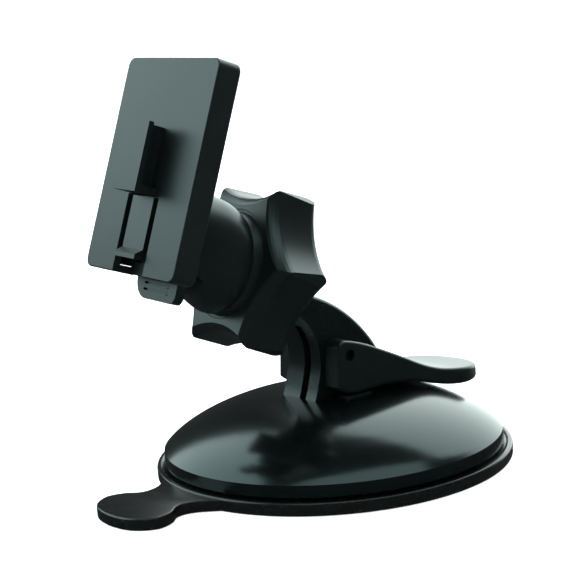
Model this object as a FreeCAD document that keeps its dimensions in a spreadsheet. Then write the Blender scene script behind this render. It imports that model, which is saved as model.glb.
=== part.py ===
import FreeCAD, Part
import Sketcher
import math
import os

V = FreeCAD.Vector
os.makedirs("parts", exist_ok=True)
doc = FreeCAD.newDocument("CarPhoneMount")

# ---------------------------------------------------------------- dimensions
sheet = doc.addObject("Spreadsheet::Sheet", "Dims")
DIMS = [
    # suction foot
    ("dome_rad", 38.16), ("dome_top", 16.3), ("dome_rim_top", 6.0), ("dome_rim_low", 3.2), ("dome_wall", 2.2),
    ("cup_rad", 39.94), ("cup_thick", 2.57), ("cup_hollow", 2.5), ("bead_high", 0.25),
    ("tab_half", 10.45), ("tab_end", 58.9), ("tab_neck", 7.0), ("tab_turn", -1.4),
    ("gel_rad", 36.0), ("gel_thick", 0.8),
    ("frame_rad", 36.4), ("frame_bore", 19.0), ("frame_low", 2.65), ("frame_thick", 2.35),
    ("boss_circle", 30.0), ("boss_rad", 2.7),
    # pull stud and lever
    ("stud_plate_rad", 13.0), ("stud_plate_low", 4.65), ("stud_plate_thick", 1.55),
    ("stud_rad", 3.0), ("stud_shaft_len", 15.0), ("blade_wide", 4.4), ("blade_len", 7.2), ("blade_low", 19.5), ("blade_tall", 9.1),
    ("pin_x", -1.9), ("pin_z", 25.7), ("pin_rad", 1.2), ("pin_len", 19.8), ("pin_fit", 0.05), ("stroke", 2.5),
    ("lever_half", 10.7), ("fork_half", 6.0), ("lever_skin", 2.0), ("lever_wall", 1.9),
    ("spring_rad", 5.2), ("spring_wire", 0.9), ("spring_low", 6.3), ("spring_tall", 6.6), ("spring_pitch", 1.55),
    # arm
    ("arm_half", 5.7), ("groove_wide", 2.2), ("groove_mid", -1.2), ("groove_deep", 2.4),
    ("cup_shell_rad", 13.0), ("cup_front", 3.5), ("cup_cyl", 6.0), ("cup_round_at", 8.0),
    # ball joint (nut frame: depth behind the nut's front face)
    ("ball_rad", 11.3), ("ball_at", 2.0), ("seat_gap", 0.06),
    ("nut_corner", 19.0), ("nut_flute_root", 14.45), ("nut_flute_root_back", 15.6), ("nut_flute_rad", 22.9), ("nut_depth", 11.5),
    ("nut_bore", 13.08), ("nut_lip_bore", 11.9), ("nut_lip", 1.5),
    ("ring_nose_rad", 11.8), ("ring_flange_rad", 12.95),
    ("nut_tilt", 21.23), ("nut_x", -24.21), ("nut_z", 48.67),
    # plate
    ("plate_wide", 33.6), ("plate_tall", 44.74), ("plate_thick", 5.5), ("plate_corner", 2.0),
    ("plate_tilt", 19.72), ("plate_lean", 1.93), ("plate_x", -41.36), ("plate_z", 71.53),
    ("front_wall", 1.6), ("side_wall", 1.6), ("cover_thick", 1.3), ("cover_gap", 0.1),
    ("slot_half", 5.8), ("slot_top", -6.0), ("tongue_half", 3.9), ("tongue_low", -19.1), ("tongue_thick", 1.45),
    ("hook_half", 4.3), ("hook_low", -6.0), ("hook_top", 8.2), ("hook_out", 5.0), ("hook_head", 1.2), ("stem_half", 2.2),
    ("latch_pin_y", -4.6), ("latch_pin_z", -2.9), ("latch_pin_rad", 0.5), ("latch_barrel", 1.0),
    ("release_half", 7.6), ("release_low", -26.5), ("release_front", -7.5), ("release_thick", 2.2),
    ("spigot_rad", 5.0), ("bell_front_gap", 4.1),
]
D = {}
for i, (name, value) in enumerate(DIMS, 1):
    sheet.set("A%d" % i, name.replace("_", " "))
    sheet.set("B%d" % i, str(value))
    sheet.setAlias("B%d" % i, name)
    D[name] = float(value)
doc.recompute()

ROT_XZ = FreeCAD.Rotation(V(1, 0, 0), 90)      # sketch x -> X, sketch y -> Z, normal -> -Y
UP = FreeCAD.Placement()
counter = [0]


def nm(base):
    counter[0] += 1
    return "%s_%03d" % (base, counter[0])


def bind(ob, **exprs):
    for prop, expr in exprs.items():
        if isinstance(expr, str):
            ob.setExpression(prop, expr)
        else:
            setattr(ob, prop, expr)
    return ob


def S(text):
    """Turns @alias into a reference to the sheet's cell."""
    return text.replace("@", "Dims.")


def cyl(r, h, at=(0, 0, 0), pl=None, axis=None):
    ob = doc.addObject("Part::Cylinder", nm("cyl"))
    bind(ob, Radius=S(r) if isinstance(r, str) else r, Height=S(h) if isinstance(h, str) else h)
    rot = FreeCAD.Rotation(V(0, 0, 1), V(*axis)) if axis else FreeCAD.Rotation()
    p = FreeCAD.Placement(V(*at), rot)
    ob.Placement = pl.multiply(p) if pl else p
    return ob


def sph(r, at=(0, 0, 0), pl=None):
    ob = doc.addObject("Part::Sphere", nm("sph"))
    bind(ob, Radius=S(r) if isinstance(r, str) else r)
    p = FreeCAD.Placement(V(*at), FreeCAD.Rotation())
    ob.Placement = pl.multiply(p) if pl else p
    return ob


def box(x0, x1, y0, y1, z0, z1, pl=None):
    ob = doc.addObject("Part::Box", nm("box"))
    bind(ob, Length=x1 - x0, Width=y1 - y0, Height=z1 - z0)
    p = FreeCAD.Placement(V(x0, y0, z0), FreeCAD.Rotation())
    ob.Placement = pl.multiply(p) if pl else p
    return ob


def fuse(*obs):
    ob = doc.addObject("Part::MultiFuse", nm("fuse"))
    ob.Shapes = list(obs)
    ob.Refine = True
    return ob


def cut(a, *bs):
    tool = bs[0] if len(bs) == 1 else fuse(*bs)
    ob = doc.addObject("Part::Cut", nm("cut"))
    ob.Base, ob.Tool = a, tool
    ob.Refine = True
    return ob


def common(*obs):
    ob = doc.addObject("Part::MultiCommon", nm("com"))
    ob.Shapes = list(obs)
    return ob


def sketch(parts, pl):
    """parts: a list of ('l', [points]) chains or ('s', [points]) splines, joined end to end."""
    sk = doc.addObject("Sketcher::SketchObject", nm("sketch"))
    for kind, pts in parts:
        pts = [V(p[0], p[1], 0) for p in pts]
        if kind == "l":
            for a, b in zip(pts, pts[1:]):
                sk.addGeometry(Part.LineSegment(a, b), False)
        elif kind == "c":
            sk.addGeometry(Part.Circle(pts[0], V(0, 0, 1), pts[1].x), False)
        elif kind == "a":
            sk.addGeometry(Part.Arc(pts[0], pts[1], pts[2]), False)
        else:
            cv = Part.BSplineCurve()
            cv.interpolate(pts)
            sk.addGeometry(cv, False)
    sk.Placement = pl
    return sk


def extrude(sk, length, normal, symmetric=True):
    ob = doc.addObject("Part::Extrusion", nm("ext"))
    ob.Base = sk
    ob.DirMode = "Custom"
    ob.Dir = V(*normal)
    ob.Solid = True
    ob.Symmetric = symmetric
    bind(ob, LengthFwd=S(length) if isinstance(length, str) else length)
    return ob


def revolve(sk, base=(0, 0, 0), axis=(0, 0, 1)):
    ob = doc.addObject("Part::Revolution", nm("rev"))
    ob.Source = sk
    ob.Axis = V(*axis)
    ob.Base = V(*base)
    ob.Angle = 360.0
    ob.Solid = True
    return ob


def fillet(base, test, radius):
    """Rounds every edge of base for which test(edge) holds."""
    doc.recompute()
    picks = [(i + 1, radius, radius) for i, e in enumerate(base.Shape.Edges) if test(e)]
    ob = doc.addObject("Part::Fillet", nm("fil"))
    ob.Base = base
    ob.Edges = picks
    doc.recompute()
    if ob.Shape.isNull() or not ob.Shape.isValid() or len(ob.Shape.Solids) < 1:
        doc.removeObject(ob.Name)
        print("rounding left out", base.Name, radius, len(picks))
        return base
    return ob


NODES = {}


def node(name, ob):
    ob.Label = name
    NODES[name] = ob
    return ob


XZ = FreeCAD.Placement(V(0, 0, 0), ROT_XZ)

# ---------------------------------------------------------------- dome cover
dome_pts = [(0.0, D["dome_top"]), (6.0, D["dome_top"] - 0.06), (10.0, D["dome_top"] - 0.3), (15.0, D["dome_top"] - 0.82),
            (20.0, 14.72), (25.0, 13.3), (30.0, 11.3), (33.0, 9.75), (35.0, 8.5), (37.0, 6.95), (38.0, D["dome_rim_top"])]
dr, dl = D["dome_rad"], D["dome_rim_low"]
outer = sketch([("s", dome_pts), ("l", [(38.0, D["dome_rim_top"]), (dr, dl + 0.3), (dr - 0.3, dl), (0.0, dl), (0.0, D["dome_top"])])], XZ)
dome_solid = revolve(outer)
w = D["dome_wall"]
inner_pts = [(0.0, D["dome_top"] - w), (10.0, D["dome_top"] - w - 0.35), (20.0, 14.72 - w - 0.1), (25.0, 13.3 - w - 0.3),
             (30.0, 11.3 - w - 0.7), (33.4, 8.2), (35.2, 6.4), (36.5, 5.05)]
inner = sketch([("s", inner_pts), ("l", [(36.5, 5.05), (36.7, 2.0), (0.0, 2.0), (0.0, D["dome_top"] - w)])], XZ)
dome_void = revolve(inner)
bosses = []
pilots = []
for a in (60.0, 180.0, 300.0):
    x, y = D["boss_circle"] * math.cos(math.radians(a)), D["boss_circle"] * math.sin(math.radians(a))
    bosses.append(cyl("@boss_rad", 5.2, (x, y, 5.05)))
    pilots.append(cyl(0.95, 4.4, (x, y, 4.0)))
shell = cut(dome_solid, dome_void)
boss_fit = common(fuse(*bosses), dome_solid)
dome_body = fuse(shell, boss_fit)
stud_way = cyl("@stud_rad + 0.1", 12.0, (0, 0, 8.0))
blade_way = box(-4.9, 2.9, -2.5, 2.5, 8.0, 20.0)
pad_ways = [box(-3.05, 3.6, 6.35, 10.35, 14.9, 20.0), box(-3.05, 3.6, -10.35, -6.35, 14.9, 20.0)]
arm_screw_ways = [cyl(1.2, 10.0, (9.8, 2.6, 9.0)), cyl(1.2, 10.0, (9.8, -2.6, 9.0))]
dome = node("dome_cover", cut(dome_body, *(pilots + [stud_way, blade_way] + pad_ways + arm_screw_ways)))

# ---------------------------------------------------------------- cam pads let into the dome
pads = []
for s in (1, -1):
    y0, y1 = sorted((s * 6.4, s * 10.3))
    pads.append(box(-3.0, 3.55, y0, y1, 14.9, 16.6))
node("cam_pads", fuse(*pads))

# ---------------------------------------------------------------- inner pressing frame and its screws
fr0, frt = D["frame_low"], D["frame_thick"]
frame_disc = cyl("@frame_rad", "@frame_thick", (0, 0, fr0))
frame_cuts = [cyl("@frame_bore", 8.0, (0, 0, 1.0))]
for a in (60.0, 180.0, 300.0):
    x, y = D["boss_circle"] * math.cos(math.radians(a)), D["boss_circle"] * math.sin(math.radians(a))
    frame_cuts.append(cyl(1.25, 8.0, (x, y, 1.0)))
    frame_cuts.append(cyl(2.3, 1.2, (x, y, fr0 - 0.2)))
for k in range(6):
    a = math.radians(30 + 60 * k)
    frame_cuts.append(cyl(3.0, 8.0, (24.6 * math.cos(a), 24.6 * math.sin(a), 1.0)))
node("base_frame", cut(frame_disc, *frame_cuts))
scr = []
for a in (60.0, 180.0, 300.0):
    x, y = D["boss_circle"] * math.cos(math.radians(a)), D["boss_circle"] * math.sin(math.radians(a))
    scr.append(cut(fuse(cyl(2.1, 0.9, (x, y, fr0 + 0.1)), cyl(0.95, 4.6, (x, y, fr0 + 0.9))),
                   box(x - 1.3, x + 1.3, y - 0.25, y + 0.25, fr0, fr0 + 0.6), box(x - 0.25, x + 0.25, y - 1.3, y + 1.3, fr0, fr0 + 0.6)))
node("frame_screws", fuse(*scr))

# ---------------------------------------------------------------- rubber suction cup with its pull tab
ct, ch = D["cup_thick"], D["cup_hollow"]
cr, gt, gr = D["cup_rad"], D["gel_thick"], D["gel_rad"]
mem = 2.05   # height of the membrane's top above the hollow's roof
cup_prof = sketch([
    ("l", [(0.0, ch + gt - 0.05), (0.0, ch + mem), (13.6, ch + mem), (14.6, ch + mem - 0.35), (17.4, ct + 0.3), (18.6, ct), (cr - 1.1, ct), (cr - 0.9, ct + D["bead_high"]), (cr - 0.25, ct + D["bead_high"]), (cr, ct - 0.15), (cr, 0.35),
           (cr - 0.35, 0.0), (gr + 0.1, 0.0), (gr + 0.1, gt), (24.0, gt), (22.4, gt + 0.2), (15.6, ch + gt - 0.25), (14.0, ch + gt - 0.05), (0.0, ch + gt - 0.05)]),
], XZ)
cup_ring = revolve(cup_prof)
te, th, tn = D["tab_end"], D["tab_half"], D["tab_neck"]
tab_pts = [(-36.0, 12.6), (-39.0, 10.3), (-42.0, 7.9), (-44.6, tn), (-46.8, tn + 0.45), (-48.8, 9.3), (-51.4, th - 0.05), (-53.6, th - 0.15),
           (-56.4, 8.3), (-58.2, 5.0), (-te, 0.0)]
full = tab_pts + [(x, -y) for x, y in reversed(tab_pts[:-1])]
tab_sk = sketch([("s", full), ("l", [full[-1], (-30.0, -12.6), (-30.0, 12.6), full[0]])], FreeCAD.Placement())
tab = extrude(tab_sk, "@cup_thick", (0, 0, 1), False)
doc.recompute()
tab_keep = cyl(75.0, 10.0, (0, 0, -1.0))
tab_core = cyl(37.5, 12.0, (0, 0, -2.0))
tab_only = cut(tab, tab_core)
tab_round = fillet(tab_only, lambda e: abs(e.BoundBox.ZLength) < 0.01 and e.BoundBox.XMin < -50, 0.45)
turn = FreeCAD.Placement(V(0, 0, 0), FreeCAD.Rotation(V(0, 0, 1), D["tab_turn"]))
tab_round.Placement = turn.multiply(tab_round.Placement)
node("suction_cup", fuse(cup_ring, tab_round))

gel_prof = sketch([
    ("l", [(0.0, ch), (0.0, ch + gt - 0.05), (14.0, ch + gt - 0.05), (15.6, ch + gt - 0.25), (22.4, gt + 0.2), (24.0, gt), (gr, gt), (gr, 0.0), (24.6, 0.0),
           (22.8, 0.2), (16.0, ch - 0.2), (14.4, ch), (0.0, ch)]),
], XZ)
node("gel_pad", revolve(gel_prof))

# ---------------------------------------------------------------- pull stud, its spring and the lever's pin
px, pz = D["pin_x"], D["pin_z"]
stud = fuse(cyl("@stud_plate_rad", "@stud_plate_thick", (0, 0, D["stud_plate_low"])),
            cyl("@stud_rad", "@stud_shaft_len", (0, 0, D["stud_plate_low"] + 0.5)),
            box(-4.6, 2.6, -D["blade_wide"] / 2, D["blade_wide"] / 2, D["blade_low"], D["blade_low"] + D["blade_tall"]))
stud_cut = cut(stud, cyl("@pin_rad", 12.0, (px, 6.0, pz), axis=(0, -1, 0)))
node("pull_stud", stud_cut)
node("lever_pin", cyl("@pin_rad", "@pin_len", (px, D["pin_len"] / 2, pz), axis=(0, -1, 0)))

helix = doc.addObject("Part::Helix", nm("helix"))
bind(helix, Pitch=S("@spring_pitch"), Height=S("@spring_tall - @spring_wire"), Radius=S("@spring_rad"))
helix.Placement = FreeCAD.Placement(V(0, 0, D["spring_low"] + D["spring_wire"] / 2), FreeCAD.Rotation())
doc.recompute()
wire_sec = sketch([("c", [(D["spring_rad"], D["spring_low"] + D["spring_wire"] / 2), (D["spring_wire"] / 2, 0)])], XZ)
sweep = doc.addObject("Part::Sweep", nm("sweep"))
sweep.Sections = [wire_sec]
sweep.Spine = (helix, ["Edge%d" % (i + 1) for i in range(len(helix.Shape.Edges))])
sweep.Solid = True
sweep.Frenet = True
node("stud_spring", sweep)

# ---------------------------------------------------------------- lever
top = [(-3.0, 29.1), (0.0, 28.35), (5.0, 26.4), (9.5, 24.3), (13.7, 22.25), (19.0, 19.6), (24.0, 17.65), (29.4, 16.45), (35.0, 15.75), (41.5, 15.0)]
low = [(41.7, 11.9), (36.0, 12.2), (30.0, 12.55), (23.7, 13.85), (17.0, 15.75), (12.0, 16.65), (5.0, 16.95)]
side = sketch([("s", top), ("l", [top[-1], low[0]]), ("s", low),
               ("l", [low[-1], (px + 1.6, 16.95)]),
               ("s", [(px + 1.6, 16.95), (px - 0.62, 17.24), (px - 2.58, 18.05), (-5.85, 19.15)]),
               ("l", [(-5.85, 19.15), (-5.05, 27.1)]),
               ("s", [(-5.05, 27.1), (-4.75, 28.15), (-4.0, 28.9), (-3.0, 29.1)])], XZ)
lever_block = extrude(side, "2 * @lever_half", (0, -1, 0))
lh = D["lever_half"]
plan = sketch([("l", [(30.9, -lh), (-8.0, -lh), (-8.0, lh), (30.9, lh)]), ("a", [(30.9, lh), (41.4, 0.0), (30.9, -lh)])],
              FreeCAD.Placement(V(0, 0, 5.0), FreeCAD.Rotation()))
plan_block = extrude(plan, 40.0, (0, 0, 1), False)
lever_raw = common(lever_block, plan_block)


def lever_rim(e):
    b = e.BoundBox
    return (b.ZMin > 14.4 and b.XMax > 0 and b.XLength > 5.0) or (b.YLength > 15 and b.XMax > 35 and b.ZMin > 14.0)


lever_round = fillet(lever_raw, lever_rim, 0.8)
fork = box(-9.0, 15.6, -D["fork_half"], D["fork_half"], 5.0, 40.0)
hollow_top = [(p[0], p[1] - D["lever_skin"]) for p in top]
hollow_side = sketch([("s", hollow_top[4:9]), ("l", [hollow_top[8], (35.0, 8.0), (13.7, 8.0), hollow_top[4]])], XZ)
hollow = extrude(hollow_side, 2 * (lh - D["lever_wall"]), (0, -1, 0))
hollow_fit = common(hollow, extrude(sketch([("l", [(29.5, -lh + 1.9), (17.4, -lh + 1.9), (17.4, lh - 1.9), (29.5, lh - 1.9)]), ("a", [(29.5, lh - 1.9), (37.8, 0.0), (29.5, -lh + 1.9)])], FreeCAD.Placement(V(0, 0, 5.0), FreeCAD.Rotation())), 40.0, (0, 0, 1), False))
node("lever", cut(lever_round, fork, hollow_fit, cyl("@pin_rad + @pin_fit", 30.0, (px, 15.0, pz), axis=(0, -1, 0))))

# ---------------------------------------------------------------- frames of the ball joint and of the plate
ta = math.radians(D["nut_tilt"])
NUT = FreeCAD.Placement(V(D["nut_x"], 0, D["nut_z"]), FreeCAD.Rotation(V(0, 1, 0), 90.0 + D["nut_tilt"]))   # local z = depth
ball_c = NUT.multVec(V(0, 0, D["ball_at"]))
pt = math.radians(D["plate_tilt"])
pr = math.radians(D["plate_lean"])
N = V(-math.cos(pt), 0, math.sin(pt))
H0 = V(math.sin(pt), 0, math.cos(pt))
W0 = H0.cross(N)
H = H0 * math.cos(pr) + W0 * math.sin(pr)
Wd = H.cross(N)
M = FreeCAD.Matrix(Wd.x, H.x, N.x, D["plate_x"], Wd.y, H.y, N.y, 0.0, Wd.z, H.z, N.z, D["plate_z"], 0, 0, 0, 1)
PLATE = FreeCAD.Placement(M)                                                                                # local x right, y up, z out
b = PLATE.inverse().multVec(ball_c)
bx, by, bz = b.x, b.y, b.z
print("ball centre", ball_c, "in the plate's frame", b)

# ---------------------------------------------------------------- arm
front = [(-9.6, 13.0), (-8.9, 15.5), (-8.2, 17.2), (-7.3, 20.0), (-6.6, 22.5), (-6.3, 25.0), (-6.45, 27.5), (-7.1, 29.8), (-8.15, 31.9), (-10.2, 34.7),
         (-13.2, 37.3), (-17.0, 39.3)]
acx, acz, ar = -19.7, 6.5, 35.3
arc = []
for deg in (76.0, 70.0, 62.0, 54.0, 46.0, 38.0, 30.0, 22.0, 15.0, 10.0):
    arc.append((acx + ar * math.cos(math.radians(deg)), acz + ar * math.sin(math.radians(deg))))
web_sk = sketch([("s", front), ("l", [front[-1], (-15.5, 43.5), arc[0]]), ("a", [arc[0], arc[4], arc[-1]]), ("l", [arc[-1], front[0]])], XZ)
web = extrude(web_sk, "2 * @arm_half", (0, -1, 0))
web_round = fillet(web, lambda e: e.BoundBox.XLength > 18 and e.BoundBox.YLength < 0.01 and e.BoundBox.ZLength > 15, 1.5)
socket = fuse(cyl("@cup_shell_rad", "@cup_cyl", (0, 0, D["cup_front"]), NUT), sph("@cup_shell_rad", (0, 0, D["cup_round_at"]), NUT))
socket_trim = cut(socket, cyl(30.0, 40.0, (0, 0, D["cup_front"] - 40.0), NUT))
arm_sum = fuse(web_round, socket_trim)
arm_cuts = [sph("@ball_rad + @seat_gap", (0, 0, D["ball_at"]), NUT),
            box(-4.9, 2.9, -2.5, 2.5, 10.0, 30.6), cyl("@stud_rad + 0.15", 12.5, (0, 0, 10.0)),
            cyl("@pin_rad + 0.35", 40.0, (px, 20.0, pz), axis=(0, -1, 0)),
            cyl("@pin_rad + 0.35", 40.0, (px, 20.0, pz - D["stroke"]), axis=(0, -1, 0)),
            box(px - D["pin_rad"] - 0.35, px + D["pin_rad"] + 0.35, -20.0, 20.0, pz - D["stroke"], pz),
            cyl(1.1, 15.0, (9.8, 2.6, 9.0)), cyl(1.1, 15.0, (9.8, -2.6, 9.0))]
gfront = front[:9]
g0 = D["groove_deep"]
groove_sk = sketch([("s", [(x + g0, z) for x, z in gfront]), ("l", [(gfront[-1][0] + g0, gfront[-1][1]), (-14.0, gfront[-1][1] + 1.5), (-14.0, gfront[0][1]), (gfront[0][0] + g0, gfront[0][1])])], XZ)
groove = extrude(groove_sk, "@groove_wide", (0, -1, 0))
groove.Placement = FreeCAD.Placement(V(0, D["groove_mid"], 0), FreeCAD.Rotation()).multiply(groove.Placement)
dome_again = revolve(sketch([("s", dome_pts), ("l", [(38.0, D["dome_rim_top"]), (38.0, 0.0), (0.0, 0.0), (0.0, D["dome_top"])])], XZ))
front_gone = cyl(30.0, 40.0, (0, 0, D["cup_front"] - 40.0), NUT)
node("arm_bracket", cut(arm_sum, *(arm_cuts + [groove, dome_again, front_gone])))

screws = []
for y in (2.6, -2.6):
    screws.append(cut(fuse(cyl(1.9, 1.5, (9.8, y, 11.9)), cyl(1.1, 10.6, (9.8, y, 13.3))),
                      box(9.8 - 1.2, 9.8 + 1.2, y - 0.25, y + 0.25, 11.8, 12.6), box(9.8 - 0.25, 9.8 + 0.25, y - 1.2, y + 1.2, 11.8, 12.6)))
node("arm_screws", fuse(*screws))

# ---------------------------------------------------------------- clamp nut and seat ring
nd, fr_, root0, root1 = D["nut_depth"], D["nut_flute_rad"], D["nut_flute_root"], D["nut_flute_root_back"]
nut_blank = doc.addObject("Part::Cone", nm("cone"))
bind(nut_blank, Radius1=S("@nut_corner + 0.25"), Radius2=S("@nut_corner - 0.05"), Height=S("@nut_depth"))
nut_blank.Placement = NUT
flutes = []
lean = math.degrees(math.atan2(root1 - root0, nd))
for k in range(6):
    spin = NUT.multiply(FreeCAD.Placement(V(0, 0, 0), FreeCAD.Rotation(V(0, 0, 1), 60.0 * k)))
    tip = spin.multiply(FreeCAD.Placement(V(root0, 0, 0), FreeCAD.Rotation(V(0, 1, 0), lean))).multiply(FreeCAD.Placement(V(fr_, 0, 0), FreeCAD.Rotation()))
    flutes.append(cyl("@nut_flute_rad", 30.0, (0, 0, -8.0), tip))
    for z0, z1, r0, r1 in ((-0.5, 0.25, 2.10, 1.10), (0.25, 0.7, 1.10, 0.68), (0.7, 1.3, 0.68, 0.32), (1.3, 2.1, 0.32, 0.08), (2.1, 2.9, 0.08, 0.0),
                           (nd - 1.4, nd - 0.7, 0.0, 0.16), (nd - 0.7, nd - 0.2, 0.16, 0.5), (nd - 0.2, nd + 0.5, 0.5, 1.4)):
        cone = doc.addObject("Part::Cone", nm("cone"))
        bind(cone, Radius1=S("@nut_flute_rad + %g" % r0), Radius2=S("@nut_flute_rad + %g" % r1), Height=z1 - z0)
        cone.Placement = tip.multiply(FreeCAD.Placement(V(0, 0, z0), FreeCAD.Rotation()))
        flutes.append(cone)
nut_b = cut(nut_blank, *flutes)


def in_nut(p):
    return NUT.inverse().multVec(p)


node("clamp_nut", cut(nut_b, cyl("@nut_bore", 20.0, (0, 0, D["nut_lip"]), NUT), cyl("@nut_lip_bore", 20.0, (0, 0, -5.0), NUT)))
ring = fuse(cyl("@ring_nose_rad", 2.4, (0, 0, 0.1), NUT), cyl("@ring_flange_rad", 1.65, (0, 0, 1.65), NUT))
node("seat_ring", cut(ring, sph("@ball_rad + @seat_gap", (0, 0, D["ball_at"]), NUT)))

# ---------------------------------------------------------------- ball on the plate's spigot
ball_raw = cut(sph("@ball_rad", (bx, by, bz), PLATE), box(bx - 20, bx + 20, by - 20, by + 20, bz + 3.95, bz + 30, PLATE))
node("ball", cut(ball_raw, cyl("@spigot_rad + 0.05", 30.0, (bx, by, bz - 4.1), PLATE), cyl(1.7, 20.0, (bx, by, bz - 12.0), PLATE),
                 cyl(4.2, 20.0, (bx, by, bz - 25.6), PLATE)))
node("ball_washer", cut(cyl(3.8, 0.8, (bx, by, bz - 6.45), PLATE), cyl(1.5, 4.0, (bx, by, bz - 8.0), PLATE)))
node("ball_screw", cut(fuse(cyl(2.8, 1.8, (bx, by, bz - 8.25), PLATE), cyl(1.45, 9.0, (bx, by, bz - 6.6), PLATE)),
                       box(bx - 1.8, bx + 1.8, by - 0.35, by + 0.35, bz - 8.4, bz - 7.3, PLATE), box(bx - 0.35, bx + 0.35, by - 1.8, by + 1.8, bz - 8.4, bz - 7.3, PLATE)))

# ---------------------------------------------------------------- front plate with the hook
pw, ph, pk = D["plate_wide"] / 2, D["plate_tall"] / 2, D["plate_thick"]
plate_raw = box(-pw, pw, -ph, ph, -pk, 0.0, PLATE)


def in_plate(p):
    return PLATE.inverse().multVec(p)


def along_z(e):
    vs = [in_plate(v.Point) for v in e.Vertexes]
    return len(vs) == 2 and abs(vs[0].z - vs[1].z) > 4 and abs(vs[0].x - vs[1].x) < 0.01


def at_front(e):
    vs = [in_plate(v.Point) for v in e.Vertexes]
    return all(abs(v.z) < 0.01 for v in vs)


def at_back(e):
    vs = [in_plate(v.Point) for v in e.Vertexes]
    return all(abs(v.z + pk) < 0.01 for v in vs)


plate_c = fillet(plate_raw, along_z, D["plate_corner"])
plate_f = fillet(plate_c, at_front, 0.3)
plate_g = fillet(plate_f, at_back, 0.5)
sw = D["side_wall"]
cavity = box(-pw + sw, pw - sw, -ph + sw, ph - sw, -pk - 1.0, -D["front_wall"], PLATE)
way = box(-D["slot_half"], D["slot_half"], -ph - 2.0, D["slot_top"], -pk - 1.0, 2.0, PLATE)
hollowed = cut(plate_g, cavity, way)
posts, post_holes = [], []
for x in (-1, 1):
    for y in (-1, 1):
        posts.append(cyl(2.1, pk - D["front_wall"] - D["cover_thick"], (x * 12.9, y * 18.4, -pk + D["cover_thick"]), PLATE))
        post_holes.append(cyl(0.75, 3.4, (x * 12.9, y * 18.4, -pk), PLATE))
hk = D["hook_half"]
hook = fuse(box(-D["stem_half"], D["stem_half"], D["hook_low"] + 0.1, D["hook_top"] - 0.35, -0.8, D["hook_out"] - 0.4, PLATE),
            box(-hk, hk, D["hook_low"], D["hook_top"], D["hook_out"] - D["hook_head"], D["hook_out"], PLATE),
            box(-hk, hk, D["hook_low"], D["hook_low"] + 1.5, -0.8, D["hook_out"], PLATE))
node("front_plate", cut(fuse(hollowed, hook, *posts), *post_holes))

# ---------------------------------------------------------------- rear cover with the bell-shaped stem
ct_, cg = D["cover_thick"], D["cover_gap"]
cover = box(-pw + sw + cg, pw - sw - cg, -ph + sw + cg, ph - sw - cg, -pk, -pk + ct_, PLATE)
loft_sections = []
for (zz, cy, rad) in ((-pk + 0.3, -12.3, 9.9), (-9.5, -12.5, 10.1), (-13.4, -13.2, 10.6), (-17.4, -14.45, 11.45), (bz + D["bell_front_gap"], by, 11.0)):
    c = doc.addObject("Part::Circle", nm("circle"))
    c.Radius = rad
    c.Placement = PLATE.multiply(FreeCAD.Placement(V(bx, cy, zz), FreeCAD.Rotation()))
    loft_sections.append(c)
bell = doc.addObject("Part::Loft", nm("loft"))
bell.Sections = loft_sections
bell.Solid = True
bell.Ruled = False
ears = [box(-5.8, -4.3, -6.0, -3.2, -pk + 0.6, -1.9, PLATE), box(4.3, 5.8, -6.0, -3.2, -pk + 0.6, -1.9, PLATE)]
spigot = cyl("@spigot_rad", D["bell_front_gap"] + 4.0 + 1.0, (bx, by, bz - 4.0), PLATE)
apron = box(-D["slot_half"] + 0.12, D["slot_half"] - 0.12, -ph + 0.1, -ph + sw + 1.0, -pk + 0.05, -pk + ct_, PLATE)
cover_sum = fuse(cover, bell, spigot, apron, *ears)
lpy, lpz = D["latch_pin_y"], D["latch_pin_z"]
cover_cuts = [box(-4.3, 4.3, -19.5, -16.7, -9.0, -1.0, PLATE),
              box(-8.0, 8.0, -45.0, -16.0, -13.2, -pk, PLATE),
              cyl(1.45, 9.0, (bx, by, bz - 6.6), PLATE),
              cyl("@latch_pin_rad", 14.0, (-7.0, lpy, lpz), PLATE, axis=(1, 0, 0))]
for x in (-1, 1):
    for y in (-1, 1):
        cover_cuts.append(cyl(0.85, 4.0, (x * 12.9, y * 18.4, -pk - 1.0), PLATE))
        cover_cuts.append(cyl(1.75, 1.0, (x * 12.9, y * 18.4, -pk - 0.3), PLATE))
node("rear_cover", cut(cover_sum, *cover_cuts))
cs = []
for x in (-1, 1):
    for y in (-1, 1):
        X, Y = x * 12.9, y * 18.4
        cs.append(cut(fuse(cyl(1.65, 0.65, (X, Y, -pk + 0.05), PLATE), cyl(0.75, 2.9, (X, Y, -pk + 0.5), PLATE)),
                      box(X - 1.1, X + 1.1, Y - 0.2, Y + 0.2, -pk, -pk + 0.4, PLATE), box(X - 0.2, X + 0.2, Y - 1.1, Y + 1.1, -pk, -pk + 0.4, PLATE)))
node("cover_screws", fuse(*cs))

# ---------------------------------------------------------------- release latch, its pin and leaf spring
th_, tl, tt = D["tongue_half"], D["tongue_low"], D["tongue_thick"]
yz = FreeCAD.Placement(V(0, 0, 0), FreeCAD.Rotation(V(0, 1, 0), V(0, 0, 1), V(1, 0, 0), "XYZ"))   # sketch x -> y, sketch y -> z, normal -> x
YZP = PLATE.multiply(yz)
rf, rt, rl = D["release_front"], D["release_thick"], D["release_low"]
lp = sketch([("l", [(-6.3, -0.05), (-17.0, -0.05), (-18.15, 1.6), (tl, 1.6), (tl, -1.3), (tl, rf - rt), (-17.6, rf - rt), (-17.6, -2.7), (-16.6, -tt - 0.05),
                    (-8.2, -tt - 0.05), (-7.4, -3.5), (lpy, -3.5), (lpy, -2.2), (-6.3, -2.2), (-6.3, -0.05)])], YZP)
tongue = extrude(lp, "2 * @tongue_half", tuple(Wd))
barrel = cyl("@latch_barrel", 2 * th_, (-th_, lpy, lpz), PLATE, axis=(1, 0, 0))
rh = D["release_half"]
rel_raw = box(-rh, rh, rl, -17.6, rf - rt, rf, PLATE)


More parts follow.
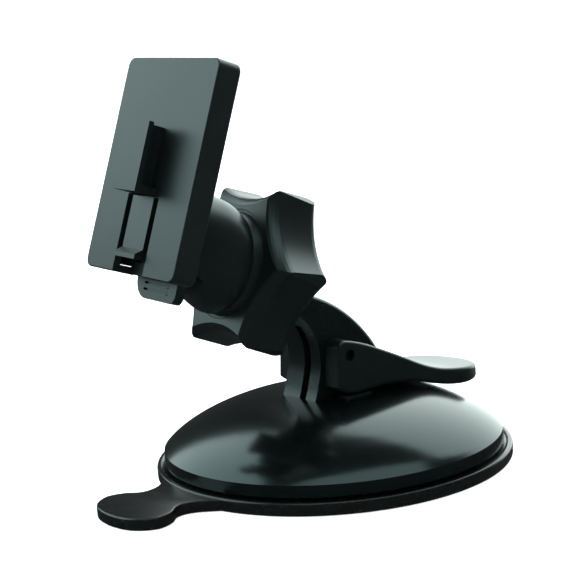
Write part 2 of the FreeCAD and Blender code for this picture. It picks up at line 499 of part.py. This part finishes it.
def rel_corner(e):
    vs = [in_plate(v.Point) for v in e.Vertexes]
    return len(vs) == 2 and abs(vs[0].z - vs[1].z) > 1.5 and all(v.y < rl + 0.1 for v in vs)


rel_r = fillet(fillet(rel_raw, lambda e: rel_corner(e) and in_plate(e.Vertexes[0].Point).x < 0, 4.4), lambda e: rel_corner(e) and in_plate(e.Vertexes[0].Point).x > 5, 1.9)
grips = [fuse(box(-4.4, 4.4, y, y + 0.5, rf - 0.5, rf + 0.4, PLATE), cyl(0.42, 1.2, (4.4, y + 0.2, rf - 0.7), PLATE)) for y in (-23.4, -24.75)]
latch_sum = fuse(tongue, barrel, cut(rel_r, *grips))
node("release_latch", cut(latch_sum, cyl("@latch_pin_rad + 0.05", 20.0, (-10.0, lpy, lpz), PLATE, axis=(1, 0, 0))))
node("latch_pin", cyl("@latch_pin_rad", 11.4, (-5.7, lpy, lpz), PLATE, axis=(1, 0, 0)))
leaf = sketch([("s", [(-9.0, -3.95), (-11.0, -3.6), (-13.0, -2.5), (-14.6, -1.65), (-15.6, -1.75)]), ("l", [(-15.6, -1.75), (-15.6, -1.97)]),
               ("s", [(-15.6, -1.97), (-14.6, -1.87), (-13.1, -2.7), (-11.1, -3.8), (-9.0, -4.13)]), ("l", [(-9.0, -4.13), (-9.0, -3.95)])], YZP)
node("latch_spring", extrude(leaf, 4.0, tuple(Wd)))

doc.recompute()
bad = 0
for ob in doc.Objects:
    if any(s in ob.State for s in ("Invalid", "Error")):
        print("STATE", ob.Name, ob.State)
        bad += 1
for name, ob in NODES.items():
    sh = ob.Shape
    ok = (not sh.isNull()) and sh.isValid() and len(sh.Solids) >= 1
    bb = sh.BoundBox
    print("%-14s valid=%s solids=%d vol=%.1f  x %.1f..%.1f y %.1f..%.1f z %.1f..%.1f" % (name, ok, len(sh.Solids), sh.Volume, bb.XMin, bb.XMax, bb.YMin, bb.YMax, bb.ZMin, bb.ZMax))
    if not ok:
        bad += 1
    sh.exportStep("parts/%s.step" % name)
if bad:
    raise RuntimeError("%d objects are not right" % bad)
print("nodes", len(NODES))
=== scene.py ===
import bpy
import bmesh
import math
import random
from mathutils import Matrix, Vector, noise


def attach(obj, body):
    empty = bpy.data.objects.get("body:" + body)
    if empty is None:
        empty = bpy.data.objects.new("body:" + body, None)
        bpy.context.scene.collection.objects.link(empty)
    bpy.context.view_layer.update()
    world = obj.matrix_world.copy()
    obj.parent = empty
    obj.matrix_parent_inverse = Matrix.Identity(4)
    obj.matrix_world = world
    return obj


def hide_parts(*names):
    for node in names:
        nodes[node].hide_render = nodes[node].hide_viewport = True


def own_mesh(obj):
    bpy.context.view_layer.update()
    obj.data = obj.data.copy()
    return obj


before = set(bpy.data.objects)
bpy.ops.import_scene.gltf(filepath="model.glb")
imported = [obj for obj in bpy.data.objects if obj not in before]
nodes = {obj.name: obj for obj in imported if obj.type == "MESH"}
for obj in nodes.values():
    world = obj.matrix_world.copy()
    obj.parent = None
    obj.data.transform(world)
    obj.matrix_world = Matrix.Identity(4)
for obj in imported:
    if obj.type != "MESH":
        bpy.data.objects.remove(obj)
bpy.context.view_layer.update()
scene = bpy.context.scene
MM = 0.001


# ------------------------------------------------------------------ materials
def new_mat(name):
    m = bpy.data.materials.new(name)
    m.use_nodes = True
    m.node_tree.nodes.clear()
    return m


def nd(m, kind, **vals):
    n = m.node_tree.nodes.new(kind)
    for k, v in vals.items():
        if k in n.inputs.keys():
            n.inputs[k].default_value = v
        else:
            setattr(n, k, v)
    return n


def ln(m, a, ao, b, bi):
    m.node_tree.links.new(a.outputs[ao], b.inputs[bi])


def ramp(m, stops, interp="LINEAR"):
    r = m.node_tree.nodes.new("ShaderNodeValToRGB")
    r.color_ramp.interpolation = interp
    el = r.color_ramp.elements
    while len(el) < len(stops):
        el.new(0.5)
    for e, (p, c) in zip(el, stops):
        e.position = p
        e.color = (c[0], c[1], c[2], 1.0) if isinstance(c, (tuple, list)) else (c, c, c, 1.0)
    return r


def plastic(name, base, lift, rough, rough_var, grain=2600.0, grain_h=0.00002, flow_h=0.0, ior=1.5, tint=(0.72, 1.0, 0.98)):
    """Moulded black plastic: fine spark-erosion grain, slow sink waviness, faint clouding of colour and gloss, sparse handling marks."""
    m = new_mat(name)
    out = nd(m, "ShaderNodeOutputMaterial")
    bs = nd(m, "ShaderNodeBsdfPrincipled")
    bs.inputs["IOR"].default_value = ior
    bs.inputs["Specular Tint"].default_value = (*tint, 1.0)
    ln(m, bs, "BSDF", out, "Surface")
    tc = nd(m, "ShaderNodeTexCoord")
    cloud = nd(m, "ShaderNodeTexNoise", Scale=90.0, Detail=6.0, Roughness=0.6)
    ln(m, tc, "Object", cloud, "Vector")
    cr = ramp(m, [(0.30, base), (0.72, lift)])
    ln(m, cloud, "Fac", cr, "Fac")
    speck = nd(m, "ShaderNodeTexNoise", Scale=2600.0, Detail=2.0, Roughness=0.5)
    ln(m, tc, "Object", speck, "Vector")
    sr = ramp(m, [(0.66, 0.0), (0.74, 0.5)])
    ln(m, speck, "Fac", sr, "Fac")
    mix = nd(m, "ShaderNodeMix", data_type="RGBA")
    m.node_tree.links.new(sr.outputs["Color"], mix.inputs["Factor"])
    m.node_tree.links.new(cr.outputs["Color"], mix.inputs[6])
    mix.inputs[7].default_value = (lift[0] * 1.8, lift[1] * 1.8, lift[2] * 1.8, 1.0)
    m.node_tree.links.new(mix.outputs[2], bs.inputs["Base Color"])
    # gloss: broad patches and fine hairline scratches
    rn = nd(m, "ShaderNodeTexNoise", Scale=55.0, Detail=5.0, Roughness=0.55)
    ln(m, tc, "Object", rn, "Vector")
    rr = nd(m, "ShaderNodeMapRange")
    rr.inputs["From Min"].default_value = 0.3
    rr.inputs["From Max"].default_value = 0.7
    rr.inputs["To Min"].default_value = max(0.02, rough - rough_var)
    rr.inputs["To Max"].default_value = rough + rough_var
    ln(m, rn, "Fac", rr, "Value")
    mp = nd(m, "ShaderNodeMapping")
    mp.inputs["Rotation"].default_value = (0.4, 0.2, 0.7)
    mp.inputs["Scale"].default_value = (900.0, 40.0, 60.0)
    ln(m, tc, "Object", mp, "Vector")
    hair = nd(m, "ShaderNodeTexNoise", Scale=3.0, Detail=2.0)
    ln(m, mp, "Vector", hair, "Vector")
    hr = ramp(m, [(0.70, 0.0), (0.76, 1.0)])
    ln(m, hair, "Fac", hr, "Fac")
    ra = nd(m, "ShaderNodeMath", operation="MULTIPLY_ADD")
    ln(m, hr, "Color", ra, 0)
    ra.inputs[1].default_value = 0.03
    ln(m, rr, "Result", ra, 2)
    ln(m, ra, "Value", bs, "Roughness")
    g = nd(m, "ShaderNodeTexVoronoi", Scale=grain)
    ln(m, tc, "Object", g, "Vector")
    g2 = nd(m, "ShaderNodeTexNoise", Scale=grain * 0.45, Detail=3.0)
    ln(m, tc, "Object", g2, "Vector")
    gm = nd(m, "ShaderNodeMath", operation="ADD")
    ln(m, g, "Distance", gm, 0)
    ln(m, g2, "Fac", gm, 1)
    b1 = nd(m, "ShaderNodeBump", Strength=0.35, Distance=grain_h)
    ln(m, gm, "Value", b1, "Height")
    if flow_h > 0:
        f = nd(m, "ShaderNodeTexNoise", Scale=28.0, Detail=2.0)
        ln(m, tc, "Object", f, "Vector")
        b2 = nd(m, "ShaderNodeBump", Strength=0.5, Distance=flow_h)
        ln(m, f, "Fac", b2, "Height")
        ln(m, b2, "Normal", b1, "Normal")
    ln(m, b1, "Normal", bs, "Normal")
    return m


def metal(name, base, rough, brush_axis=2, brush=700.0, spots=0.25, spot_col=(0.32, 0.29, 0.24)):
    """Plated steel: brushed streaks, drawn lines, dull spots of plating."""
    m = new_mat(name)
    out = nd(m, "ShaderNodeOutputMaterial")
    bs = nd(m, "ShaderNodeBsdfPrincipled")
    bs.inputs["Metallic"].default_value = 1.0
    ln(m, bs, "BSDF", out, "Surface")
    tc = nd(m, "ShaderNodeTexCoord")
    mp = nd(m, "ShaderNodeMapping")
    sc = [brush, brush, brush]
    sc[brush_axis] = brush * 0.06
    mp.inputs["Scale"].default_value = sc
    ln(m, tc, "Object", mp, "Vector")
    st = nd(m, "ShaderNodeTexNoise", Scale=6.0, Detail=5.0, Roughness=0.6)
    ln(m, mp, "Vector", st, "Vector")
    sp = nd(m, "ShaderNodeTexNoise", Scale=900.0, Detail=3.0)
    ln(m, tc, "Object", sp, "Vector")
    spr = ramp(m, [(0.56, 0.0), (0.70, spots)])
    ln(m, sp, "Fac", spr, "Fac")
    mix = nd(m, "ShaderNodeMix", data_type="RGBA")
    ln(m, spr, "Color", mix, "Factor")
    cr = ramp(m, [(0.3, tuple(c * 0.86 for c in base)), (0.7, base)])
    ln(m, st, "Fac", cr, "Fac")
    m.node_tree.links.new(cr.outputs["Color"], mix.inputs[6])
    mix.inputs[7].default_value = (*spot_col, 1.0)
    m.node_tree.links.new(mix.outputs[2], bs.inputs["Base Color"])
    rr = nd(m, "ShaderNodeMapRange")
    rr.inputs["To Min"].default_value = rough * 0.7
    rr.inputs["To Max"].default_value = rough * 1.5
    ln(m, st, "Fac", rr, "Value")
    ln(m, rr, "Result", bs, "Roughness")
    b = nd(m, "ShaderNodeBump", Strength=0.3, Distance=0.00002)
    ln(m, st, "Fac", b, "Height")
    ln(m, b, "Normal", bs, "Normal")
    return m


def elastomer(name, base, lift, rough, rough_var, grain=1500.0, grain_h=0.00003, sheen=0.0, trans=0.0, dust=0.12, coat=0.0):
    """Soft black rubber or tacky gel: smooth skin, faint flow lines, sparse dust."""
    m = new_mat(name)
    out = nd(m, "ShaderNodeOutputMaterial")
    bs = nd(m, "ShaderNodeBsdfPrincipled")
    bs.inputs["IOR"].default_value = 1.46
    bs.inputs["Sheen Weight"].default_value = sheen
    bs.inputs["Sheen Roughness"].default_value = 0.5
    bs.inputs["Coat Weight"].default_value = coat
    bs.inputs["Coat Roughness"].default_value = 0.22
    bs.inputs["Transmission Weight"].default_value = trans
    ln(m, bs, "BSDF", out, "Surface")
    tc = nd(m, "ShaderNodeTexCoord")
    cl = nd(m, "ShaderNodeTexNoise", Scale=70.0, Detail=6.0, Roughness=0.6)
    ln(m, tc, "Object", cl, "Vector")
    cr = ramp(m, [(0.3, base), (0.75, lift)])
    ln(m, cl, "Fac", cr, "Fac")
    sp = nd(m, "ShaderNodeTexNoise", Scale=2300.0, Detail=2.0)
    ln(m, tc, "Object", sp, "Vector")
    spr = ramp(m, [(0.66, 0.0), (0.74, dust)])
    ln(m, sp, "Fac", spr, "Fac")
    mix = nd(m, "ShaderNodeMix", data_type="RGBA")
    ln(m, spr, "Color", mix, "Factor")
    m.node_tree.links.new(cr.outputs["Color"], mix.inputs[6])
    mix.inputs[7].default_value = (0.16, 0.17, 0.165, 1.0)
    m.node_tree.links.new(mix.outputs[2], bs.inputs["Base Color"])
    rr = nd(m, "ShaderNodeMapRange")
    rr.inputs["From Min"].default_value = 0.3
    rr.inputs["From Max"].default_value = 0.7
    rr.inputs["To Min"].default_value = max(0.05, rough - rough_var)
    rr.inputs["To Max"].default_value = rough + rough_var
    ln(m, cl, "Fac", rr, "Value")
    ln(m, rr, "Result", bs, "Roughness")
    g = nd(m, "ShaderNodeTexNoise", Scale=grain, Detail=4.0)
    ln(m, tc, "Object", g, "Vector")
    b = nd(m, "ShaderNodeBump", Strength=0.3, Distance=grain_h)
    ln(m, g, "Fac", b, "Height")
    ln(m, b, "Normal", bs, "Normal")
    return m


SATIN = plastic("satin_black_abs", (0.0026, 0.0036, 0.0037), (0.0036, 0.0050, 0.0050), 0.34, 0.012, grain=2600.0, grain_h=0.000012)
PLATE = plastic("satin_plate_abs", (0.0034, 0.0046, 0.0047), (0.0046, 0.0062, 0.0062), 0.38, 0.010, grain=2200.0, grain_h=0.000014)
GLOSS = plastic("polished_black_abs", (0.0012, 0.0018, 0.0018), (0.0018, 0.0026, 0.0026), 0.18, 0.012, grain=3200.0, grain_h=0.0000005,
                flow_h=0.00001)
ARM = plastic("polished_arm_abs", (0.0016, 0.0023, 0.0023), (0.0024, 0.0033, 0.0033), 0.27, 0.012, grain=3200.0, grain_h=0.0000006)
NYLON = plastic("glass_filled_nylon", (0.0030, 0.0040, 0.0040), (0.0050, 0.0064, 0.0064), 0.42, 0.03, grain=1500.0, grain_h=0.00003)
ZINC = metal("zinc_plated_steel", (0.55, 0.56, 0.55), 0.28)
BLACKOX = metal("black_oxide_steel", (0.03, 0.032, 0.034), 0.34, spot_col=(0.06, 0.05, 0.04))
SPRING = metal("nickel_spring_wire", (0.66, 0.65, 0.62), 0.22, brush=1200.0)
RUBBER = elastomer("black_elastomer", (0.0020, 0.0028, 0.0028), (0.0032, 0.0043, 0.0043), 0.28, 0.02, grain_h=0.000006)
GEL = elastomer("smoke_grey_gel", (0.10, 0.115, 0.11), (0.15, 0.17, 0.165), 0.24, 0.07, grain=500.0, grain_h=0.00006, trans=0.15, dust=0.3, coat=0.3)

NODE_MAT = {
    "front_plate": PLATE, "rear_cover": SATIN, "release_latch": SATIN, "latch_pin": ZINC, "latch_spring": SPRING,
    "cover_screws": ZINC, "ball": NYLON, "ball_washer": ZINC, "ball_screw": ZINC, "seat_ring": NYLON,
    "clamp_nut": SATIN, "arm_bracket": ARM, "arm_screws": ZINC, "lever": SATIN, "lever_pin": BLACKOX,
    "pull_stud": NYLON, "stud_spring": SPRING, "cam_pads": NYLON, "dome_cover": GLOSS, "base_frame": NYLON,
    "frame_screws": ZINC, "suction_cup": RUBBER, "gel_pad": GEL,
}
for n, o in nodes.items():
    o.data.materials.clear()
    o.data.materials.append(NODE_MAT[n])
    for p in o.data.polygons:
        p.material_index = 0

# ------------------------------------------------------------------ soft parts, as meshes of their own
def add_mesh(name, verts, faces, mat, body):
    me = bpy.data.meshes.new(name)
    me.from_pydata(verts, [], faces)
    me.validate()
    b = bmesh.new()
    b.from_mesh(me)
    bmesh.ops.recalc_face_normals(b, faces=b.faces)
    b.to_mesh(me)
    b.free()
    me.materials.append(mat)
    ob = bpy.data.objects.new(name, me)
    scene.collection.objects.link(ob)
    return ob


def spin_closed(profile, seg, wave=None):
    """A closed profile of (radius, height) in mm turned into a ring; a profile that starts and ends at radius 0 makes a disc."""
    verts, faces = [], []
    disc = profile[0][0] < 1e-6
    n = len(profile)
    for k in range(seg):
        a = 2 * math.pi * k / seg
        for i, (r, z) in enumerate(profile):
            dz = wave(r, z, a, i) if wave else 0.0
            verts.append((r * math.cos(a) * MM, r * math.sin(a) * MM, (z + dz) * MM))
    for k in range(seg):
        k2 = (k + 1) % seg
        for i in range(n if not disc else n - 1):
            j = (i + 1) % n
            q = [k * n + i, k2 * n + i, k2 * n + j, k * n + j]
            faces.append(q)
    return verts, faces


def weld(ob, dist=2e-6):
    b = bmesh.new()
    b.from_mesh(ob.data)
    bmesh.ops.remove_doubles(b, verts=b.verts, dist=dist)
    bmesh.ops.dissolve_degenerate(b, edges=b.edges, dist=1e-7)
    bmesh.ops.recalc_face_normals(b, faces=b.faces)
    b.to_mesh(ob.data)
    b.free()


def smooth(ob, angle=38.0):
    for p in ob.data.polygons:
        p.use_smooth = True
    ob.data.set_sharp_from_angle(angle=math.radians(angle))


def rounded(pts, r, n=5, closed=True):
    """Rounds each corner of a polyline of (x, y) by up to r."""
    out = []
    m = len(pts)
    for i in range(m):
        p = Vector(pts[i])
        if not closed and i in (0, m - 1):
            out.append(tuple(p))
            continue
        a, b = Vector(pts[i - 1]) - p, Vector(pts[(i + 1) % m]) - p
        d = min(r, a.length * 0.45, b.length * 0.45)
        p0, p1 = p + a.normalized() * d, p + b.normalized() * d
        for t in range(n + 1):
            u = t / n
            out.append(tuple((1 - u) ** 2 * p0 + 2 * u * (1 - u) * p + u * u * p1))
    return out


flange_prof = rounded([(18.0, 2.57), (38.55, 2.57), (38.95, 2.82), (39.70, 2.82), (39.94, 2.45), (39.94, 0.32), (39.60, 0.0), (36.15, 0.0), (36.15, 0.8), (24.0, 0.8), (22.4, 1.0), (18.0, 2.32)], 0.30, 4)
v, f = spin_closed(flange_prof, 224)
flange = add_mesh("cup_flange", v, f, RUBBER, "base")

# pull tab: outline sampled from a smooth curve, edges rolled over top and bottom
tab_pts = [(-36.0, 12.6), (-39.0, 10.3), (-42.0, 7.9), (-44.6, 7.0), (-46.8, 7.45), (-48.8, 9.3), (-51.4, 10.4), (-53.6, 10.3), (-56.4, 8.3), (-58.2, 5.0), (-58.9, 0.0)]
full = tab_pts + [(x, -y) for x, y in reversed(tab_pts[:-1])]


def catmull(pts, n=6):
    out = []
    ext = [pts[0]] + pts + [pts[-1]]
    for i in range(1, len(ext) - 2):
        p0, p1, p2, p3 = (Vector(q) for q in ext[i - 1:i + 3])
        for t in range(n):
            u = t / n
            out.append(0.5 * (2 * p1 + (p2 - p0) * u + (2 * p0 - 5 * p1 + 4 * p2 - p3) * u * u + (3 * p1 - 3 * p2 + p3 - p0) * u ** 3))
    out.append(Vector(pts[-1]))
    return out


curve = catmull(full)
turn = math.radians(-1.4)
inner = []
layers = [(0.42, 0.0), (0.20, 0.05), (0.06, 0.16), (0.0, 0.36), (0.0, 2.20), (0.06, 2.40), (0.20, 2.52), (0.46, 2.57)]
nrm = []
for i, p in enumerate(curve):
    a_, b_ = curve[max(i - 1, 0)], curve[min(i + 1, len(curve) - 1)]
    t_ = (b_ - a_).normalized()
    nn_ = Vector((t_.y, -t_.x))
    if nn_.dot(Vector((-47.0, 0.0)) - p) < 0:
        nn_ = -nn_
    if p.x > -44.6 and nn_.dot(Vector((0, -p.y))) < 0:
        nn_ = -nn_
    nrm.append(nn_)
verts, faces = [], []
for inset, z in layers:
    for p, nn_ in zip(curve, nrm):
        q = p + nn_ * inset
        c_, s_ = math.cos(turn), math.sin(turn)
        verts.append(((q.x * c_ - q.y * s_) * MM, (q.x * s_ + q.y * c_) * MM, z * MM))
m_ = len(curve)
for L in range(len(layers) - 1):
    for i in range(m_):
        j = (i + 1) % m_
        faces.append([L * m_ + i, L * m_ + j, (L + 1) * m_ + j, (L + 1) * m_ + i])
faces.append(list(range(m_))[::-1])
faces.append([(len(layers) - 1) * m_ + i for i in range(m_)])
tab = add_mesh("cup_tab_part", verts, faces, RUBBER, "base")
mod = flange.modifiers.new("tab", "BOOLEAN")
mod.operation = "UNION"
mod.solver = "EXACT"
mod.object = tab
dg = bpy.context.evaluated_depsgraph_get()
joined = bpy.data.meshes.new_from_object(flange.evaluated_get(dg))
flange.modifiers.clear()
flange.data = joined
bpy.data.objects.remove(tab)
weld(flange)
smooth(flange, 40.0)
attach(flange, "base")
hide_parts("suction_cup")

mem_prof = [(0.0, 4.55)] + [(r, 4.55) for r in (4.0, 8.0, 11.0, 13.2)] + [(13.9, 4.49), (14.6, 4.20), (16.0, 3.50), (17.4, 2.87), (18.1, 2.62), (18.6, 2.57), (18.8, 2.45), (18.8, 2.20), (18.0, 2.32),
            (16.6, 2.74), (15.6, 3.04), (14.8, 3.20), (14.0, 3.25), (8.0, 3.25), (0.0, 3.25)]
v, f = spin_closed(mem_prof, 160)
mem = add_mesh("cup_membrane", v, f, RUBBER, "base")
weld(mem)
smooth(mem, 50.0)
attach(mem, "base")
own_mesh(mem)


def gel_wave(r, z, a, i):
    if 1.0 < r < 35.5 and i >= gel_low:
        return 0.035 * (1 + math.sin(r * 2.4)) * min(1.0, (35.5 - r) * 2) + 0.02 * (1 + math.sin(5 * a + r * 0.3))
    return 0.0


gel_top = [(0.0, 3.20), (8.0, 3.20), (13.8, 3.20), (15.4, 3.00), (19.0, 1.93), (22.3, 0.97), (24.0, 0.78), (30.0, 0.78), (35.8, 0.78), (36.0, 0.65)]
gel_low = len(gel_top)
gel_under = [(36.0, 0.12), (35.9, 0.03), (35.6, 0.0)] + [(35.6 - 0.45 * k, 0.0) for k in range(1, 24)] + [(24.8, 0.0), (24.2, 0.03), (22.8, 0.22), (20.0, 1.08), (17.0, 2.0), (16.0, 2.30), (15.2, 2.44), (14.2, 2.5)] \
    + [(14.2 - 0.6 * k, 2.5) for k in range(1, 23)] + [(0.0, 2.5)]
v, f = spin_closed(gel_top + gel_under, 160, gel_wave)
gel = add_mesh("gel_skin", v, f, GEL, "base")
weld(gel)
smooth(gel, 50.0)
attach(gel, "base")
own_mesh(gel)
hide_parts("gel_pad")

# ------------------------------------------------------------------ camera, at the photograph's viewing angle
cam_data = bpy.data.cameras.new("camera")
cam_data.sensor_width = 36.0
cam_data.lens = 93.75
cam_data.clip_start = 0.01
cam_data.clip_end = 20.0
cam = bpy.data.objects.new("camera", cam_data)
scene.collection.objects.link(cam)
right = Vector((0.78811, -0.61023, -0.08061))
up = Vector((0.16885, 0.08839, 0.98167))
fwd = Vector((0.59192, 0.78728, -0.1727))
cam.matrix_world = Matrix((
    (right.x, up.x, -fwd.x, -0.202483),
    (right.y, up.y, -fwd.y, -0.257004),
    (right.z, up.z, -fwd.z, 0.097256),
    (0, 0, 0, 1),
))
scene.camera = cam


# ------------------------------------------------------------------ stage: a wide pale floor that curves up all round
def stage_mat():
    m = new_mat("pale_backdrop")
    out = nd(m, "ShaderNodeOutputMaterial")
    bs = nd(m, "ShaderNodeBsdfPrincipled")
    bs.inputs["Roughness"].default_value = 0.95
    bs.inputs["Specular IOR Level"].default_value = 0.0
    bs.inputs["Base Color"].default_value = (0.90, 0.90, 0.90, 1)
    bs.inputs["Emission Color"].default_value = (1, 1, 1, 1)
    bs.inputs["Emission Strength"].default_value = 0.62
    ln(m, bs, "BSDF", out, "Surface")
    return m


bm = bmesh.new()
prof = [(0.001, 0.0), (0.1, 0.0), (0.4, 0.0), (1.0, 0.0), (2.2, 0.0)]
for k in range(1, 13):
    a = math.radians(90.0 * k / 12)
    prof.append((2.2 + 0.8 * math.sin(a), 0.8 - 0.8 * math.cos(a)))
prof.append((3.0, 2.6))
rings = []
for r, z in prof:
    rings.append([bm.verts.new((r * math.cos(2 * math.pi * k / 96), r * math.sin(2 * math.pi * k / 96), z - 0.0001)) for k in range(96)])
bm.faces.new(rings[0])
for ra_, rb_ in zip(rings, rings[1:]):
    for k in range(96):
        bm.faces.new((ra_[k], ra_[(k + 1) % 96], rb_[(k + 1) % 96], rb_[k]))
bmesh.ops.recalc_face_normals(bm, faces=bm.faces)
me = bpy.data.meshes.new("backdrop")
bm.to_mesh(me)
bm.free()
floor = bpy.data.objects.new("backdrop", me)
for p in me.polygons:
    p.use_smooth = True
me.materials.append(stage_mat())
scene.collection.objects.link(floor)
floor.visible_glossy = False
floor.visible_shadow = False


# ------------------------------------------------------------------ lights: three big softboxes round a black object
AZ0 = math.atan2(fwd.x, fwd.y)
TARGET = Vector((0, 0, 0.035))


def direction(az, el):
    """az in degrees to the right of straight away from the camera, el above the horizon."""
    a, e = AZ0 + math.radians(az), math.radians(el)
    return Vector((math.sin(a) * math.cos(e), math.cos(a) * math.cos(e), math.sin(e)))


def softbox(name, az, el, half_w, half_h, radiance, dist=1.3, colour=(1, 1, 1)):
    """A rectangle seen from the object as half_w by half_h degrees, of the given brightness."""
    w, h = 2 * dist * math.tan(math.radians(half_w)), 2 * dist * math.tan(math.radians(half_h))
    l = bpy.data.lights.new(name, "AREA")
    l.shape = "RECTANGLE"
    l.size, l.size_y, l.color = w, h, colour
    l.energy = radiance * w * h * math.pi
    o = bpy.data.objects.new(name, l)
    d = direction(az, el)
    o.location = TARGET + d * dist
    z = d
    x = Vector((0, 0, 1)).cross(z).normalized()
    y = z.cross(x)
    o.matrix_world = Matrix(((x.x, y.x, z.x, o.location.x), (x.y, y.y, z.y, o.location.y), (x.z, y.z, z.z, o.location.z), (0, 0, 0, 1)))
    o.visible_camera = False
    scene.collection.objects.link(o)
    return o


world = bpy.data.worlds.new("dim_room")
scene.world = world
world.use_nodes = True
world.node_tree.nodes["Background"].inputs["Color"].default_value = (0.9, 1.0, 0.98, 1)
world.node_tree.nodes["Background"].inputs["Strength"].default_value = 0.05
softbox("back_right", 30.5, 24.5, 28.5, 34.0, 3.0, colour=(0.90, 1.0, 0.98))
softbox("left", -71.0, 36.0, 37.0, 26.0, 2.5, colour=(0.84, 1.0, 1.0))
softbox("front_top", 156.0, 67.5, 33.0, 16.0, 1.7, colour=(0.88, 1.0, 1.0))
scene.view_settings.view_transform = "Standard"
